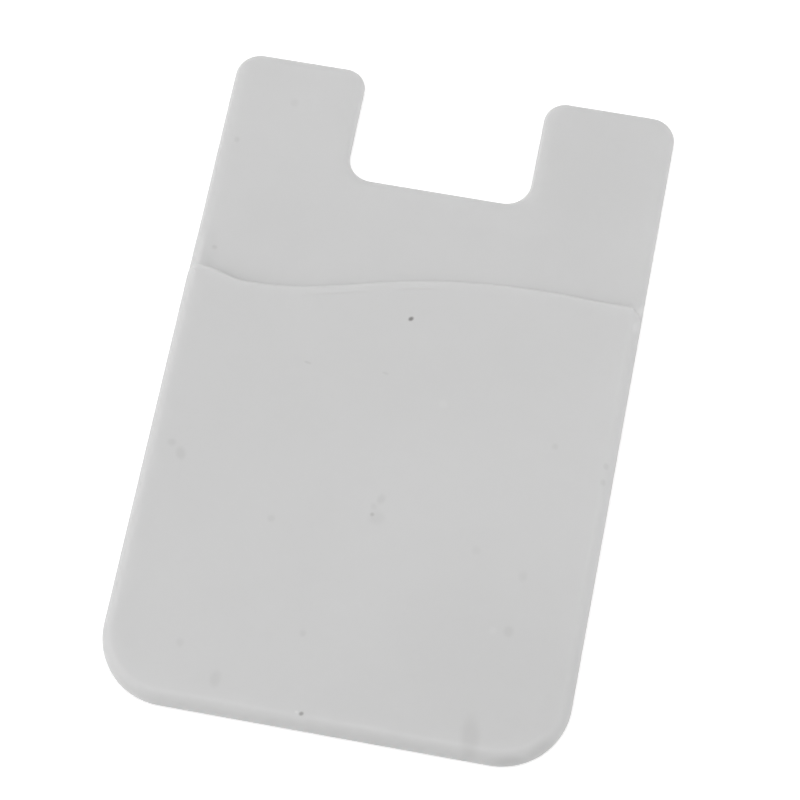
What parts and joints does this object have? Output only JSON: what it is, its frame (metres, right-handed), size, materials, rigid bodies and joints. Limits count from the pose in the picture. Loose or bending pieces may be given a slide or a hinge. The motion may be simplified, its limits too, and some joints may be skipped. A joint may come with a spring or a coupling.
{
  "type": "stick-on phone card holder",
  "caption": "Soft silicone card pocket with a waved lip and a thumb notch, with an adhesive back that sticks to a phone.",
  "frame": {"origin": "middle of the underside, on the surface that the holder lies on", "axes": "+Z out of the pocket's front, +Y from the closed bottom towards the two tabs, +X across to the right seen from the front"},
  "size_m": [0.057, 0.087, 0.0034],
  "materials": {
    "silicone": "soft matte moulded silicone, pale grey",
    "adhesive": "double-sided acrylic adhesive sheet",
    "liner_paper": "smooth coated release paper"
  },
  "bodies": {
    "root": {"holder_body": "silicone", "adhesive_pad": "adhesive", "release_liner": "liner_paper"}
  },
  "joints": []
}
